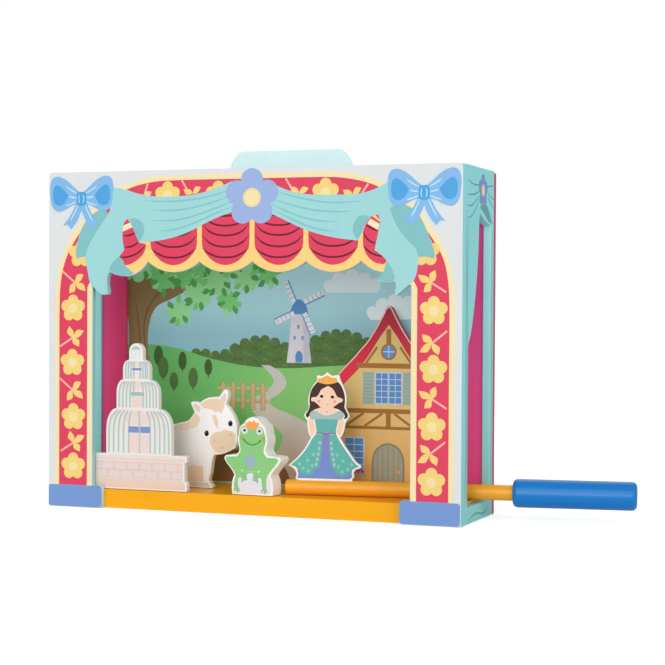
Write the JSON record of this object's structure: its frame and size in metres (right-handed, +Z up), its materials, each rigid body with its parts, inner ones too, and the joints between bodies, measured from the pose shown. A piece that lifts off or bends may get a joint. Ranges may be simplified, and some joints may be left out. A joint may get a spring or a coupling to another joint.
{
  "type": "tabletop puppet theatre",
  "caption": "Small tabletop puppet theatre of painted boards: printed arch, stage with standing figures, sliding scene panel and a puppet on a rod through the side opening.",
  "frame": {"origin": "middle of the theatre's footprint, on the surface that it stands on", "axes": "+X to the audience's right, towards the rod's handle; +Y away from the audience, through the stage; +Z up"},
  "size_m": [0.4696, 0.093, 0.292],
  "materials": {
    "front_paint": "painted board with a printed front, satin",
    "wall_paint": "painted board with a printed curtain, satin",
    "floor_paint": "gloss paint",
    "magenta_paint": "satin paint",
    "scene_print": "printed thin board, satin",
    "bare_wood": "bare, sanded",
    "screw_steel": "zinc plated",
    "fountain_print": "printed board with pale painted edges",
    "pony_print": "printed board with pale painted edges",
    "frog_print": "printed board with pale painted edges",
    "cottage_print": "printed board with pale painted edges",
    "princess_print": "printed thin board with pale edges",
    "rod_paint": "gloss paint",
    "handle_paint": "gloss paint"
  },
  "bodies": {
    "theatre": {"front_board": "front_paint", "left_wall": "wall_paint", "right_wall": "wall_paint", "stage_floor": "floor_paint", "rear_frame": "magenta_paint", "slot_spacer_left": "magenta_paint", "slot_spacer_right": "magenta_paint", "back_board": "magenta_paint", "floor_dowel_left_front": "bare_wood", "floor_dowel_left_rear": "bare_wood", "floor_dowel_right_front": "bare_wood", "floor_dowel_right_rear": "bare_wood", "foot_dowel_left": "bare_wood", "foot_dowel_right": "bare_wood", "back_screw_1": "screw_steel", "back_screw_2": "screw_steel", "back_screw_3": "screw_steel", "back_screw_4": "screw_steel", "back_screw_5": "screw_steel", "back_screw_6": "screw_steel", "back_screw_7": "screw_steel", "back_screw_8": "screw_steel", "back_screw_9": "screw_steel"},
    "scene_panel": {"backdrop": "scene_print"},
    "fountain_figure": {"fountain": "fountain_print"},
    "pony_figure": {"pony": "pony_print"},
    "frog_figure": {"frog": "frog_print"},
    "cottage_figure": {"cottage": "cottage_print"},
    "rod": {"puppet_rod": "rod_paint", "rod_handle": "handle_paint"},
    "puppet": {"princess": "princess_print"}
  },
  "joints": [
    {"name": "scene_panel_slide", "type": "slide", "parent": "theatre", "child": "scene_panel", "axis": [0, 0, 1], "range_m": [0, 0.25]},
    {"name": "rod_slide", "type": "slide", "parent": "theatre", "child": "rod", "axis": [0.9877, 0.1564, 0], "range_m": [0, 0.155]},
    {"name": "puppet_lift", "type": "slide", "parent": "rod", "child": "puppet", "axis": [0, 0, 1], "range_m": [0, 0.02]},
    {"name": "fountain_lift", "type": "slide", "parent": "theatre", "child": "fountain_figure", "axis": [0, 0, 1], "range_m": [0, 0.03]},
    {"name": "pony_lift", "type": "slide", "parent": "theatre", "child": "pony_figure", "axis": [0, 0, 1], "range_m": [0, 0.03]},
    {"name": "frog_lift", "type": "slide", "parent": "theatre", "child": "frog_figure", "axis": [0, 0, 1], "range_m": [0, 0.03]},
    {"name": "cottage_lift", "type": "slide", "parent": "theatre", "child": "cottage_figure", "axis": [0, 0, 1], "range_m": [0, 0.03]}
  ]
}
